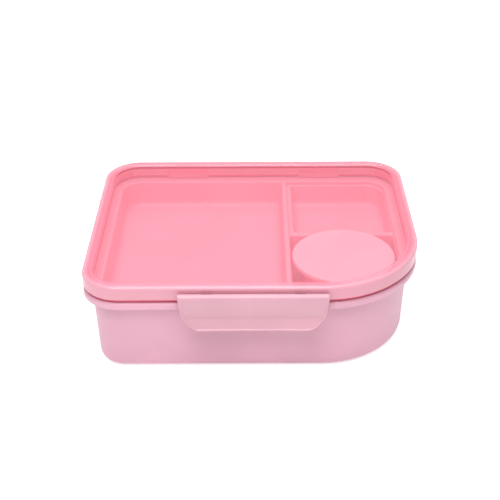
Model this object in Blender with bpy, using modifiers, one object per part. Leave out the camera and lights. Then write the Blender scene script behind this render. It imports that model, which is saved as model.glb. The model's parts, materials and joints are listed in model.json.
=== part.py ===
"""Bento lunch box with a clip-down hinged lid, a lift-out tray and a sauce cup.

Units are metres, +Z is up and the latch faces -Y. The origin is on the table under the
middle of the box. Every size that can be set by itself is a named value below.
"""

import math

import bmesh
import bpy
from mathutils import Matrix, Vector

# Overall plan, at the rim
LENGTH = 0.210
DEPTH = 0.170
CORNER_R = 0.024
SWEPT_CORNER_R = 0.063
GAP = 0.0003

# Base box
RIM_TOP = 0.053
RIM_DROP = 0.0047
RIM_WEB = 0.0028
LIP = 0.0016
BASE_WALL = 0.0018
BASE_FLOOR = 0.0018
BASE_EDGE_R = 0.009
WALL_INSET_TOP = 0.0055
WALL_INSET_FOOT = 0.0075
FOOT_BAND = 0.004
FOOT_HEIGHT = 0.0008
STEP_INSET = 0.0046
STEP_DROP = 0.002

# Inner tray
TRAY_PLATE = 0.0015
TRAY_WALL = 0.0015
TRAY_DEPTH = 0.0188
TRAY_DRAFT = 0.0014
TRAY_FLOOR_R = 0.0085
CUP_POCKET_R = 0.005
POCKET_INSET = 0.0115
DIVIDER_CORNER_R = 0.0022
DIVIDER = 0.0033
LOW_SHELF_DROP = 0.0028
LOW_SHELF = 0.0035
CROSS_BAR = 0.004

# Sauce cup and its lid
CUP_LID_R = 0.033
CUP_TO_WALL = 0.0011
CUP_TO_BAR = 0.0004
CUP_ANGLE = -25.5
CUP_LID_TOP = 0.0004
CUP_LID_SKIRT = 0.0015
CUP_PLATE = 0.0014
CUP_WALL = 0.0013
CUP_RIM = 0.0011
CUP_PLUG = 0.0022

# Lid
LID_GAP = 0.0023
LID_HEIGHT = 0.0089
LID_WALL = 0.0018
LID_PLATE = 0.002
LID_EDGE_R = 0.0016
PANEL_INSET = 0.007
PANEL_DROP = 0.001
RIB = 0.0015
SEAL = 0.0016
TONGUE_PROUD = 0.0006
TONGUE_GAP = 0.0005

# Hinges
HINGE_X = 0.0475
HINGE_WIDTH = 0.029
EAR = 0.0035
KNUCKLE_R = 0.0032
KNUCKLE_GAP = 0.0006
EAR_START = -30
EAR_TURN = 210
HINGE_PIN_R = 0.0015
HINGE_ABOVE_RIM = 0.002
ARM = 0.0033

# Latch
LATCH_TOP_HALF = 0.0455
LATCH_KNEE_HALF = 0.0434
LATCH_FOOT_HALF = 0.036
LATCH_DROP = 0.0242
LATCH_LIP = 0.0082
LATCH_PLATE = 0.0019
LATCH_HEAD_R = 0.0026
LATCH_BELOW_TOP = 0.003
LATCH_PIN_R = 0.0006
LATCH_EAR_R = 0.0015
LATCH_EAR_X = 0.028
LATCH_EAR = 0.0058
LATCH_EAR_ROOT = 0.0005
LATCH_EAR_START = 250
LATCH_EAR_TURN = 255
LATCH_HEAD_TURN = 200
LATCH_NOTCH_START = -80
LATCH_SKIN_ANGLE = 87
CATCH = 0.0018

# Smoothness
CORNER_STEPS = 6
SWEPT_STEPS = 12
FILLET_STEPS = 5
TURNED_STEPS = 48
ROUND_STEPS = 24

# Levels and places that follow from the sizes above
BACK = DEPTH / 2
FRONT = -DEPTH / 2
LEDGE_TOP = RIM_TOP - STEP_DROP
TRAY_TOP = LEDGE_TOP + GAP + TRAY_PLATE
TRAY_FLOOR = TRAY_TOP - TRAY_DEPTH
SHELF_TOP = TRAY_TOP - LOW_SHELF_DROP
LID_FOOT = RIM_TOP + LID_GAP
LID_TOP = LID_FOOT + LID_HEIGHT
PANEL_TOP = LID_TOP - PANEL_DROP
PLATE_UNDER = PANEL_TOP - LID_PLATE
CHANNEL_IN = LID_WALL + SEAL + 2 * GAP
RIB_IN = CHANNEL_IN + RIB
HINGE_Y = BACK + KNUCKLE_GAP + KNUCKLE_R
REACH = KNUCKLE_GAP + 2 * KNUCKLE_R
HINGE_Z = RIM_TOP + HINGE_ABOVE_RIM
LATCH_Y = FRONT - GAP - LATCH_HEAD_R
LATCH_Z = LID_TOP - LATCH_BELOW_TOP - LATCH_HEAD_R
CUP_ROOM = SWEPT_CORNER_R - POCKET_INSET - CUP_TO_WALL - CUP_LID_R
CUP_X = LENGTH / 2 - SWEPT_CORNER_R + CUP_ROOM * math.cos(math.radians(CUP_ANGLE))
CUP_Y = FRONT + SWEPT_CORNER_R + CUP_ROOM * math.sin(math.radians(CUP_ANGLE))
CUP_SKIRT_IN = CUP_LID_R - CUP_LID_SKIRT
CUP_RIM_R = CUP_SKIRT_IN - GAP
CUP_BODY_R = CUP_RIM_R - CUP_RIM
DIVIDER_RIGHT = CUP_X - CUP_LID_R - CUP_TO_WALL
DIVIDER_LEFT = DIVIDER_RIGHT - DIVIDER
CROSS_Y = CUP_Y + CUP_BODY_R + CUP_TO_BAR

PLAN = (-LENGTH / 2, LENGTH / 2, FRONT, BACK, (CORNER_R, SWEPT_CORNER_R, CORNER_R, CORNER_R))


def ring(plan, inset, height):
    """Points round a plan, pulled in by inset, at a height, anticlockwise seen from above."""
    left, right, front, back, radii = plan
    corners = (
        (left, front, 1, 1, 180),
        (right, front, -1, 1, 270),
        (right, back, -1, -1, 0),
        (left, back, 1, -1, 90),
    )
    points = []
    for (x, y, inward_x, inward_y, start), radius in zip(corners, radii):
        steps = SWEPT_STEPS if radius > 1.5 * CORNER_R else CORNER_STEPS
        turned = max(radius - inset, GAP)
        centre_x = x + inward_x * (inset + turned)
        centre_y = y + inward_y * (inset + turned)
        for step in range(steps + 1):
            angle = math.radians(start + 90 * step / steps)
            points.append(
                (centre_x + turned * math.cos(angle), centre_y + turned * math.sin(angle), height)
            )
    return points


def quarter(centre_inset, centre_height, radius, start, end):
    """Profile steps on an arc, in degrees from the inset direction towards up."""
    steps = []
    for step in range(FILLET_STEPS + 1):
        angle = math.radians(start + (end - start) * step / FILLET_STEPS)
        inset = centre_inset + radius * math.cos(angle)
        steps.append((inset, centre_height + radius * math.sin(angle)))
    return steps


def mesh_object(name, shape):
    """An object that holds the finished bmesh, with its faces outward."""
    bmesh.ops.recalc_face_normals(shape, faces=shape.faces)
    mesh = bpy.data.meshes.new(name)
    shape.to_mesh(mesh)
    shape.free()
    made = bpy.data.objects.new(name, mesh)
    cutters.objects.link(made)
    made.hide_render = True
    made.display_type = "WIRE"
    return made


def loft(name, plan, profile, looped=False):
    """A solid through the rings of a profile of (inset, height), capped or looped on itself."""
    shape = bmesh.new()
    rings = []
    for inset, height in profile:
        rings.append([shape.verts.new(point) for point in ring(plan, inset, height)])
    following = rings[1:] + rings[:1] if looped else rings[1:]
    for near, far in zip(rings, following):
        for index, corner in enumerate(near):
            after = (index + 1) % len(near)
            shape.faces.new((corner, near[after], far[after], far[index]))
    if not looped:
        shape.faces.new(rings[0])
        shape.faces.new(rings[-1])
    return mesh_object(name, shape)


def prism(name, outline, push):
    """A solid made by pushing a flat outline along a vector."""
    shape = bmesh.new()
    face = shape.faces.new([shape.verts.new(point) for point in outline])
    pushed = bmesh.ops.extrude_face_region(shape, geom=[face])["geom"]
    moved = [part for part in pushed if isinstance(part, bmesh.types.BMVert)]
    bmesh.ops.translate(shape, vec=Vector(push), verts=moved)
    return mesh_object(name, shape)


def rod(name, start_x, end_x, y, z, radius):
    """A round bar along X."""
    shape = bmesh.new()
    place = Matrix.Translation(((start_x + end_x) / 2, y, z)) @ Matrix.Rotation(math.pi / 2, 4, "Y")
    bmesh.ops.create_cone(
        shape,
        cap_ends=True,
        segments=ROUND_STEPS,
        radius1=radius,
        radius2=radius,
        depth=end_x - start_x,
        matrix=place,
    )
    return mesh_object(name, shape)


def block(name, start, end):
    """A box between two corners."""
    middle = (Vector(start) + Vector(end)) / 2
    size = Vector(end) - Vector(start)
    shape = bmesh.new()
    bmesh.ops.create_cube(shape, size=1, matrix=Matrix.Translation(middle) @ Matrix.Diagonal((*size, 1)))
    return mesh_object(name, shape)


def turned(name, profile, x, y):
    """A solid turned about an upright axis, from a profile of (radius, height)."""
    shape = bmesh.new()
    corners = [shape.verts.new((radius, 0, height)) for radius, height in profile]
    for upper, lower in zip(corners, corners[1:]):
        shape.edges.new((upper, lower))
    made = mesh_object(name, shape)
    made.location = (x, y, 0)
    screw = made.modifiers.new("Turn", "SCREW")
    screw.steps = TURNED_STEPS
    screw.render_steps = TURNED_STEPS
    screw.use_merge_vertices = True
    screw.merge_threshold = 0.00001
    return made


def combine(target, operation, others):
    """Joins, cuts or crosses the target with each of the others."""
    for other in others:
        modifier = target.modifiers.new(other.name, "BOOLEAN")
        modifier.operation = operation
        modifier.solver = "EXACT"
        modifier.object = other


def finish(made, colour, roughness, metallic=0.0):
    """Moves a piece into the product's collection and gives it its own material."""
    cutters.objects.unlink(made)
    product.objects.link(made)
    made.hide_render = False
    made.display_type = "TEXTURED"
    material = bpy.data.materials.new(made.name)
    material.use_nodes = True
    shader = material.node_tree.nodes["Principled BSDF"]
    shader.inputs["Base Color"].default_value = (*colour, 1)
    shader.inputs["Roughness"].default_value = roughness
    shader.inputs["Metallic"].default_value = metallic
    material.diffuse_color = (*colour, 1)
    made.data.materials.append(material)


def put_origin(made, point):
    """Sets the object's origin without moving its shape."""
    made.data.transform(Matrix.Translation(-Vector(point)))
    made.location = point


def hang(child, parent):
    """Parents a piece and leaves it where it is."""
    child.parent = parent
    child.matrix_parent_inverse = Matrix.Translation(-parent.location)


def hinge_plate(centre_y, centre_z, radius, outline_below):
    """An upright outline: a round end above the steps that lead down from it."""
    outline = []
    for step in range(ROUND_STEPS // 2 + 1):
        angle = math.radians(EAR_START + EAR_TURN * step / (ROUND_STEPS // 2))
        outline.append((centre_y + radius * math.cos(angle), centre_z + radius * math.sin(angle)))
    return outline + outline_below


def make_base():
    """The lower box: foot ring, tapered wall, hooked rim, tray ledge and hinge ears."""
    edge = WALL_INSET_FOOT + BASE_EDGE_R
    inner_floor = FOOT_HEIGHT + BASE_FLOOR
    inner_edge_r = BASE_EDGE_R - BASE_WALL
    web_under = RIM_TOP - RIM_WEB
    lip_foot = RIM_TOP - RIM_DROP
    soft = LIP / 4
    profile = [
        (edge + FOOT_BAND + FOOT_HEIGHT, FOOT_HEIGHT),
        (edge + FOOT_BAND, 0),
        *quarter(edge, BASE_EDGE_R, BASE_EDGE_R, 270, 180),
        (WALL_INSET_TOP, web_under),
        (LIP, web_under),
        (LIP, lip_foot + soft),
        (LIP - soft, lip_foot),
        (soft, lip_foot),
        (0, lip_foot + soft),
        (0, RIM_TOP - 2 * soft),
        (2 * soft, RIM_TOP),
        (STEP_INSET - soft, RIM_TOP),
        (STEP_INSET, RIM_TOP - soft),
        (STEP_INSET, LEDGE_TOP),
        (WALL_INSET_TOP + BASE_WALL, LEDGE_TOP),
        *quarter(edge, inner_floor + inner_edge_r, inner_edge_r, 180, 270),
    ]
    base = loft("base_box", PLAN, profile)
    ears = []
    for side, word in ((-1, "left"), (1, "right")):
        for end in (-1, 1):
            below = [
                (BACK - LIP / 2, RIM_TOP - 2 * soft),
                (BACK - LIP / 2, lip_foot + soft),
                (BACK + LIP / 2, lip_foot + soft),
            ]
            outline = hinge_plate(HINGE_Y, HINGE_Z, KNUCKLE_R, below)
            outer = side * HINGE_X + end * HINGE_WIDTH / 2
            points = [(outer, y, z) for y, z in outline]
            ears.append(prism(f"ear_{word}_{end}", points, (-end * EAR, 0, 0)))
    combine(base, "UNION", ears)
    holes = []
    for side, word in ((-1, "left"), (1, "right")):
        reach = HINGE_WIDTH / 2 + EAR
        middle = side * HINGE_X
        hole_r = HINGE_PIN_R + GAP
        holes.append(rod(f"ear_hole_{word}", middle - reach, middle + reach, HINGE_Y, HINGE_Z, hole_r))
    combine(base, "DIFFERENCE", holes)
    finish(base, (0.79, 0.45, 0.53), 0.45)


def pocket_profile(floor_r, grow, top):
    """A compartment's side, from its floor out and up to its mouth, grown outward all round."""
    arc = quarter(TRAY_DRAFT + floor_r, TRAY_FLOOR + floor_r, floor_r + grow, 270, 180)
    return [*arc, (-grow, top)]


def make_tray():
    """The lift-out tray: a flange plate with three compartments below it."""
    swept = SWEPT_CORNER_R - POCKET_INSET
    left = PLAN[0] + POCKET_INSET
    right = PLAN[1] - POCKET_INSET
    front = FRONT + POCKET_INSET
    back = BACK - POCKET_INSET
    small = CORNER_R - POCKET_INSET
    tight = DIVIDER_CORNER_R
    shelf_step = TRAY_WALL / 2
    main_plan = (left, DIVIDER_LEFT, front, back, (small, tight, tight, small))
    shelf_plan = (DIVIDER_RIGHT, right, front, back, (tight, swept, small, tight))
    side_plan = (
        DIVIDER_RIGHT + LOW_SHELF,
        right - shelf_step,
        CROSS_Y + CROSS_BAR,
        back - shelf_step,
        (tight, tight, small, tight),
    )
    cup_plan = (
        DIVIDER_RIGHT + shelf_step,
        right - shelf_step,
        front + shelf_step,
        CROSS_Y,
        (tight, swept - shelf_step, tight, tight),
    )
    flange_foot = TRAY_TOP - TRAY_PLATE
    outside = STEP_INSET + GAP
    soft = TRAY_PLATE / 4
    flange = [(outside, flange_foot), (outside, TRAY_TOP - soft), (outside + soft, TRAY_TOP)]
    tray = loft("inner_tray", PLAN, flange)
    bodies = []
    pockets = []
    above = TRAY_TOP + TRAY_PLATE
    joined = TRAY_TOP - TRAY_PLATE / 2
    plans = (
        ("main", main_plan, TRAY_TOP, TRAY_FLOOR_R),
        ("side", side_plan, SHELF_TOP, TRAY_FLOOR_R),
        ("cup", cup_plan, SHELF_TOP, CUP_POCKET_R),
    )
    for word, plan, mouth, floor_r in plans:
        bodies.append(loft(f"{word}_body", plan, pocket_profile(floor_r, TRAY_WALL, joined)))
        side = pocket_profile(floor_r, 0, mouth)
        pockets.append(loft(f"{word}_pocket", plan, [*side, (0, above)]))
    into_wall = TRAY_WALL / 3
    spine_foot = TRAY_FLOOR + TRAY_FLOOR_R + TRAY_WALL
    spine = block(
        "spine",
        (DIVIDER_LEFT - into_wall, front - into_wall, spine_foot),
        (DIVIDER_RIGHT + LOW_SHELF + into_wall, back + into_wall, joined),
    )
    bar = block(
        "cross_bar",
        (DIVIDER_RIGHT, CROSS_Y - into_wall, spine_foot + into_wall),
        (right + into_wall, CROSS_Y + CROSS_BAR + into_wall, joined - into_wall / 2),
    )
    shelf = loft("shelf_pocket", shelf_plan, [(0, SHELF_TOP), (0, above)])
    combine(tray, "UNION", [*bodies, spine, bar])
    combine(tray, "DIFFERENCE", [shelf, *pockets])
    finish(tray, (0.93, 0.36, 0.44), 0.4)


def make_cup():
    """The round sauce cup and its press-on lid."""
    lid_top = TRAY_TOP + CUP_LID_TOP
    lid_foot = SHELF_TOP + GAP
    plate_under = lid_top - CUP_PLATE
    rim_top = plate_under - GAP
    rim_foot = rim_top - CUP_RIM
    foot_r = CUP_BODY_R + CUP_TO_BAR - TRAY_DRAFT - CUP_POCKET_R + CUP_WALL
    bore_r = CUP_BODY_R - CUP_WALL
    foot = TRAY_FLOOR + GAP
    floor = foot + CUP_WALL
    cup = [
        (0, floor),
        (foot_r - 2 * CUP_WALL, floor),
        (foot_r - CUP_WALL / 2, floor + CUP_WALL),
        (bore_r, rim_foot),
        (bore_r, rim_top),
        (CUP_RIM_R, rim_top),
        (CUP_RIM_R, rim_foot),
        (CUP_BODY_R, rim_foot),
        (foot_r, foot + CUP_WALL),
        (foot_r - CUP_WALL, foot),
        (0, foot),
    ]
    finish(turned("sauce_cup", cup, CUP_X, CUP_Y), (0.9, 0.42, 0.5), 0.35)
    plug_out = bore_r - GAP
    plug_in = plug_out - CUP_LID_SKIRT
    soft = CUP_PLATE / 2
    lid = [
        (0, lid_top),
        (CUP_LID_R - 2 * soft, lid_top),
        (CUP_LID_R, lid_top - soft),
        (CUP_LID_R, lid_foot),
        (CUP_SKIRT_IN, lid_foot),
        (CUP_SKIRT_IN, plate_under),
        (plug_out, plate_under),
        (plug_out, plate_under - CUP_PLUG),
        (plug_in, plate_under - CUP_PLUG),
        (plug_in, plate_under),
        (0, plate_under),
    ]
    finish(turned("sauce_cup_lid", lid, CUP_X, CUP_Y), (0.94, 0.5, 0.58), 0.38)


def make_lid():
    """The see-through lid: skirt, seal channel, raised rim, hinge knuckles and latch ears."""
    soft = LID_WALL / 6
    profile = [
        (PANEL_INSET + LID_PLATE, PLATE_UNDER),
        (RIB_IN, PLATE_UNDER),
        (RIB_IN, LID_FOOT),
        (CHANNEL_IN, LID_FOOT),
        (CHANNEL_IN, PLATE_UNDER + GAP),
        (LID_WALL, PLATE_UNDER + GAP),
        (LID_WALL, LID_FOOT + soft),
        (LID_WALL - soft, LID_FOOT),
        (soft, LID_FOOT),
        (0, LID_FOOT + soft),
        *quarter(LID_EDGE_R, LID_TOP - LID_EDGE_R, LID_EDGE_R, 180, 90),
        (PANEL_INSET - PANEL_DROP, LID_TOP),
        (PANEL_INSET, PANEL_TOP),
    ]
    lid = loft("lid", PLAN, profile)
    added = []
    holes = []
    for side, word in ((-1, "left"), (1, "right")):
        middle = side * HINGE_X
        half = HINGE_WIDTH / 2 - EAR - GAP
        added.append(
            block(
                f"arm_{word}",
                (middle - half, BACK - LID_WALL / 2, HINGE_Z + KNUCKLE_R - ARM / 2),
                (middle + half, HINGE_Y + KNUCKLE_R / 2, HINGE_Z + KNUCKLE_R + ARM / 2),
            )
        )
        added.append(rod(f"knuckle_{word}", middle - half, middle + half, HINGE_Y, HINGE_Z, KNUCKLE_R))
        added.append(
            block(
                f"tongue_{word}",
                (middle - HINGE_WIDTH / 2, BACK - RIB_IN - TONGUE_PROUD, TRAY_TOP + TONGUE_GAP),
                (middle + HINGE_WIDTH / 2, BACK - RIB_IN + RIB / 2, PLATE_UNDER + LID_PLATE / 2),
            )
        )
        reach = HINGE_WIDTH / 2 + EAR
        hole_r = HINGE_PIN_R + GAP
        holes.append(rod(f"lid_hole_{word}", middle - reach, middle + reach, HINGE_Y, HINGE_Z, hole_r))
        ear = latch_ear_outline()
        start = side * LATCH_EAR_X - LATCH_EAR / 2
        added.append(prism(f"latch_ear_{word}", [(start, y, z) for y, z in ear], (LATCH_EAR, 0, 0)))
        ear_hole_r = LATCH_PIN_R + GAP
        far = start + 2 * LATCH_EAR
        near = start - LATCH_EAR
        holes.append(rod(f"latch_ear_hole_{word}", near, far, LATCH_Y, LATCH_Z, ear_hole_r))
    combine(lid, "UNION", added)
    combine(lid, "DIFFERENCE", holes)
    put_origin(lid, (0, HINGE_Y, HINGE_Z))
    finish(lid, (0.96, 0.32, 0.42), 0.2)
    seal_foot = RIM_TOP + GAP
    seal_out = LID_WALL + GAP
    seal_in = seal_out + SEAL
    swell = SEAL / 3
    seal_profile = [
        (seal_out, PLATE_UNDER),
        (seal_out, LID_FOOT),
        (seal_out - swell, LID_FOOT - swell),
        (seal_out - swell, seal_foot + swell),
        (seal_out, seal_foot),
        (seal_in, seal_foot),
        (seal_in + swell, seal_foot + swell),
        (seal_in + swell, LID_FOOT - swell),
        (seal_in, LID_FOOT),
        (seal_in, PLATE_UNDER),
    ]
    seal = loft("lid_seal", PLAN, seal_profile, looped=True)
    finish(seal, (0.62, 0.12, 0.19), 0.6)
    hang(seal, lid)
    return lid


def latch_ear_outline():
    """The upright outline of a lid ear that holds the latch pin, as (y, height)."""
    root = FRONT + LID_WALL / 2
    root_foot = LID_FOOT + GAP
    outline = [(root, root_foot + LATCH_EAR_ROOT), (root, root_foot)]
    steps = ROUND_STEPS * LATCH_EAR_TURN // 360
    for step in range(steps + 1):
        angle = math.radians(LATCH_EAR_START - LATCH_EAR_TURN * step / steps)
        y = LATCH_Y + LATCH_EAR_R * math.cos(angle)
        outline.append((y, LATCH_Z + LATCH_EAR_R * math.sin(angle)))
    return outline


def make_hinge_pins():
    """The two pins of the lid hinges."""
    for side, word in ((-1, "left"), (1, "right")):
        half = HINGE_WIDTH / 2 - GAP
        middle = side * HINGE_X
        name = f"hinge_pin_{word}"
        pin = rod(name, middle - half, middle + half, HINGE_Y, HINGE_Z, HINGE_PIN_R)
        finish(pin, (0.6, 0.6, 0.6), 0.3, 1.0)


def latch_side():
    """The latch seen from its end, as (distance out from the rim, height)."""
    pin_out = FRONT - LATCH_Y
    face = pin_out + LATCH_HEAD_R
    inner = face - LATCH_PLATE
    foot = LATCH_Z + LATCH_HEAD_R - LATCH_DROP
    crease = foot + LATCH_LIP
    soft = LATCH_PLATE / 4
    catch_top = RIM_TOP - RIM_DROP - GAP
    outline = []
    for step in range(ROUND_STEPS // 2 + 1):
        angle = math.radians(LATCH_HEAD_TURN * (1 - step / (ROUND_STEPS // 2)))
        outline.append(
            (pin_out + LATCH_HEAD_R * math.cos(angle), LATCH_Z + LATCH_HEAD_R * math.sin(angle))
        )
    outline += [
        (face, crease + soft),
        (face + soft, crease - soft),
        (REACH, foot + soft),
        (REACH - soft, foot),
        (REACH - LATCH_PLATE, foot),
        (REACH - LATCH_PLATE - soft, foot + soft),
        (inner, crease),
        (inner, catch_top - CATCH),
        (GAP + soft, catch_top - CATCH),
        (GAP, catch_top - CATCH + soft),
        (GAP, catch_top - soft),
        (GAP + soft, catch_top),
        (inner, catch_top + CATCH / 2),
        (inner, LATCH_Z - LATCH_HEAD_R),
    ]
    return outline


def make_latch(lid):
    """The latch on the front of the lid, and its pin."""
    side = [(-LATCH_TOP_HALF - REACH, FRONT - out, z) for out, z in latch_side()]
    latch = prism("latch", side, (2 * (LATCH_TOP_HALF + REACH), 0, 0))
    top = LATCH_Z + LATCH_HEAD_R
    foot = top - LATCH_DROP
    crease = foot + LATCH_LIP
    shoulder = (LATCH_KNEE_HALF - LATCH_FOOT_HALF) / 3
    half = [
        (LATCH_TOP_HALF, top + REACH),
        (LATCH_TOP_HALF, top - LATCH_HEAD_R),
        (LATCH_KNEE_HALF + shoulder / 3, crease + shoulder / 2),
        (LATCH_KNEE_HALF, crease - shoulder / 2),
        (LATCH_FOOT_HALF + shoulder, foot + shoulder),
        (LATCH_FOOT_HALF, foot + shoulder / 4),
        (LATCH_FOOT_HALF - shoulder, foot - REACH),
    ]
    face = [(x, FRONT + REACH, z) for x, z in half] + [(-x, FRONT + REACH, z) for x, z in reversed(half)]
    outline = prism("latch_outline", face, (0, -4 * REACH, 0))
    combine(latch, "INTERSECT", [outline])
    clear = LATCH_EAR_R + GAP
    notch = [(REACH, -2 * LATCH_HEAD_R), (-GAP, -2 * LATCH_HEAD_R)]
    for step in range(ROUND_STEPS // 3 + 1):
        sweep = (LATCH_SKIN_ANGLE - LATCH_NOTCH_START) * step / (ROUND_STEPS // 3)
        angle = math.radians(LATCH_NOTCH_START + sweep)
        notch.append((-clear * math.cos(angle), clear * math.sin(angle)))
    notch += [(LATCH_HEAD_R, 2 * LATCH_HEAD_R), (REACH, 2 * LATCH_HEAD_R)]
    cuts = []
    for side_sign, word in ((-1, "left"), (1, "right")):
        start = side_sign * LATCH_EAR_X - LATCH_EAR / 2 - GAP
        points = [(start, LATCH_Y + y, LATCH_Z + z) for y, z in notch]
        cuts.append(prism(f"latch_notch_{word}", points, (LATCH_EAR + 2 * GAP, 0, 0)))
    over = LATCH_TOP_HALF + REACH
    cuts.append(rod("latch_bore", -over, over, LATCH_Y, LATCH_Z, LATCH_PIN_R + GAP))
    combine(latch, "DIFFERENCE", cuts)
    put_origin(latch, (0, LATCH_Y, LATCH_Z))
    finish(latch, (0.8, 0.45, 0.54), 0.4)
    pin_half = LATCH_TOP_HALF - 2 * GAP
    pin = rod("latch_pin", -pin_half, pin_half, LATCH_Y, LATCH_Z, LATCH_PIN_R)
    finish(pin, (0.6, 0.6, 0.6), 0.3, 1.0)
    hang(pin, lid)
    hang(latch, lid)


for old in list(bpy.data.objects):
    bpy.data.objects.remove(old)
product = bpy.data.collections.new("bento_lunch_box")
cutters = bpy.data.collections.new("cutters")
bpy.context.scene.collection.children.link(product)
bpy.context.scene.collection.children.link(cutters)
cutters.hide_render = True
make_base()
make_tray()
make_cup()
box_lid = make_lid()
make_hinge_pins()
make_latch(box_lid)
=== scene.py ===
"""Studio scene of the bento lunch box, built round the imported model.

Every shape is worked out with numpy as a function of two parameters on a grid: a side profile
carried round the box's plan, a profile turned about an axis, or cross-sections stacked along a
height. Sizes are in metres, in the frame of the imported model: +X right, -Y towards the latch, +Z up.
"""

import json
import logging
import math
from dataclasses import dataclass, field
from enum import Enum
from typing import ClassVar, Sequence

import bmesh
import bpy
import numpy as np
from mathutils import Matrix, Vector

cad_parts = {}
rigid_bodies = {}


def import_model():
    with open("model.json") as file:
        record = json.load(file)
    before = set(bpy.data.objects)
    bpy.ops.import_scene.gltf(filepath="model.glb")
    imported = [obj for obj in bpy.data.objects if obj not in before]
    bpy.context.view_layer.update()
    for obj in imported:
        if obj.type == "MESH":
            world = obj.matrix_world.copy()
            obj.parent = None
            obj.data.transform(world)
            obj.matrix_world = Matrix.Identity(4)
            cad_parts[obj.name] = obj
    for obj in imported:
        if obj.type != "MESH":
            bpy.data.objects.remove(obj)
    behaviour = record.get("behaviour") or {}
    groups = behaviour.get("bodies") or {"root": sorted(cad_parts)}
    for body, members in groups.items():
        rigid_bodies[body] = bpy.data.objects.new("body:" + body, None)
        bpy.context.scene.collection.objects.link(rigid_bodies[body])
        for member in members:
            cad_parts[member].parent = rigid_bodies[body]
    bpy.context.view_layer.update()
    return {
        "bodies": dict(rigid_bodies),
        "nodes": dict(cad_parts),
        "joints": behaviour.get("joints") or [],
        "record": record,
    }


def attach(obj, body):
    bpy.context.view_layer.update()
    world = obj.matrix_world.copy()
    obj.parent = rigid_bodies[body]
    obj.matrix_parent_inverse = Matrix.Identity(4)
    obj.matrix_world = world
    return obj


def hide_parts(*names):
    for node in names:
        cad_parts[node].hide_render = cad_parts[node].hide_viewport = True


LOG = logging.getLogger("bento")
MM = 0.001
LEAST_R = 0.02 * MM
MERGE = 0.002 * MM
POLYMER_IOR = 1.49


class Body(Enum):
    """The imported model's rigid bodies."""

    BOX = "box"
    LID = "lid"
    LATCH = "latch"


class Slot(Enum):
    """The names of the record's material slots."""

    BASE = "base_plastic"
    TRAY = "tray_plastic"
    CUP = "cup_plastic"
    CUP_LID = "cup_lid_plastic"
    LID = "lid_plastic"
    SEAL = "seal_silicone"
    LATCH = "latch_plastic"
    PIN = "pin_steel"


class Axis(Enum):
    """The axis that a turned piece spins about."""

    ALONG = 0
    UP = 2


class Join(Enum):
    """What a helper solid does to the piece that takes it up."""

    ADD = "UNION"
    CUT = "DIFFERENCE"


# --------------------------------------------------------------------------- finishes


def linear(red: float, green: float, blue: float) -> tuple[float, float, float, float]:
    """Turns a display colour into the linear colour that shaders take.

    Args:
        red: Display red, 0 to 255.
        green: Display green, 0 to 255.
        blue: Display blue, 0 to 255.

    Returns:
        Linear red, green, blue and an alpha of 1.
    """
    shades = np.array((red, green, blue)) / 255
    low = shades / 12.92
    high = ((shades + 0.055) / 1.055) ** 2.4
    return (*np.where(shades <= 0.04045, low, high).tolist(), 1.0)


class Nodes:
    """A material's node tree, with short ways to add and wire nodes."""

    def __init__(self, name: str) -> None:
        """Starts a material with its shader.

        Args:
            name: The material's name.
        """
        self.material = bpy.data.materials.new(name)
        self.material.use_nodes = True
        self.tree = self.material.node_tree
        self.shader = self.tree.nodes["Principled BSDF"]

    def add(self, kind: str, **settings: object) -> bpy.types.Node:
        """Adds a node and sets its properties and inputs.

        Args:
            kind: The node's type name.
            settings: Property values, or values of inputs named with underscores.

        Returns:
            The new node.
        """
        node = self.tree.nodes.new(kind)
        for key, value in settings.items():
            if hasattr(node, key):
                setattr(node, key, value)
            else:
                node.inputs[key.replace("_", " ")].default_value = value
        return node

    def wire(self, out: bpy.types.NodeSocket, into: bpy.types.NodeSocket) -> None:
        """Links one socket to another."""
        self.tree.links.new(out, into)

    def ramp(
        self, source: bpy.types.NodeSocket, stops: Sequence[tuple[float, tuple]]
    ) -> bpy.types.NodeSocket:
        """Maps a value to colours.

        Args:
            source: The value, from 0 to 1.
            stops: Pairs of position and linear colour.

        Returns:
            The colour socket.
        """
        node = self.tree.nodes.new("ShaderNodeValToRGB")
        elements = node.color_ramp.elements
        while len(elements) < len(stops):
            elements.new(0.5)
        for element, (place, colour) in zip(elements, stops):
            element.position = place
            element.color = colour
        self.wire(source, node.inputs["Fac"])
        return node.outputs["Color"]

    def spread(self, source: bpy.types.NodeSocket, low: float, high: float) -> bpy.types.NodeSocket:
        """Maps 0 to 1 onto a range.

        Args:
            source: The value to map.
            low: What 0 becomes.
            high: What 1 becomes.

        Returns:
            The mapped value's socket.
        """
        node = self.add("ShaderNodeMapRange", To_Min=low, To_Max=high)
        self.wire(source, node.inputs["Value"])
        return node.outputs["Result"]

    def blend(
        self, share: bpy.types.NodeSocket, first: bpy.types.NodeSocket, second: tuple[float, ...]
    ) -> bpy.types.NodeSocket:
        """Blends a colour into a fixed one.

        Args:
            share: How much of the fixed colour to take, from 0 to 1.
            first: The first colour's socket.
            second: The fixed linear colour.

        Returns:
            The blended colour's socket.
        """
        node = self.add("ShaderNodeMix", data_type="RGBA")
        sockets = {socket.identifier: socket for socket in (*node.inputs, *node.outputs)}
        self.wire(share, sockets["Factor_Float"])
        self.wire(first, sockets["A_Color"])
        sockets["B_Color"].default_value = second
        return sockets["Result_Color"]

    def roughen(self, height: bpy.types.NodeSocket, strength: float, depth: float) -> None:
        """Bumps the surface by a height.

        Args:
            height: The height's socket, from 0 to 1.
            strength: How much of the bump shows.
            depth: How deep the full height is.
        """
        bump = self.add("ShaderNodeBump", Strength=strength, Distance=depth)
        self.wire(height, bump.inputs["Height"])
        self.wire(bump.outputs["Normal"], self.shader.inputs["Normal"])


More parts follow.
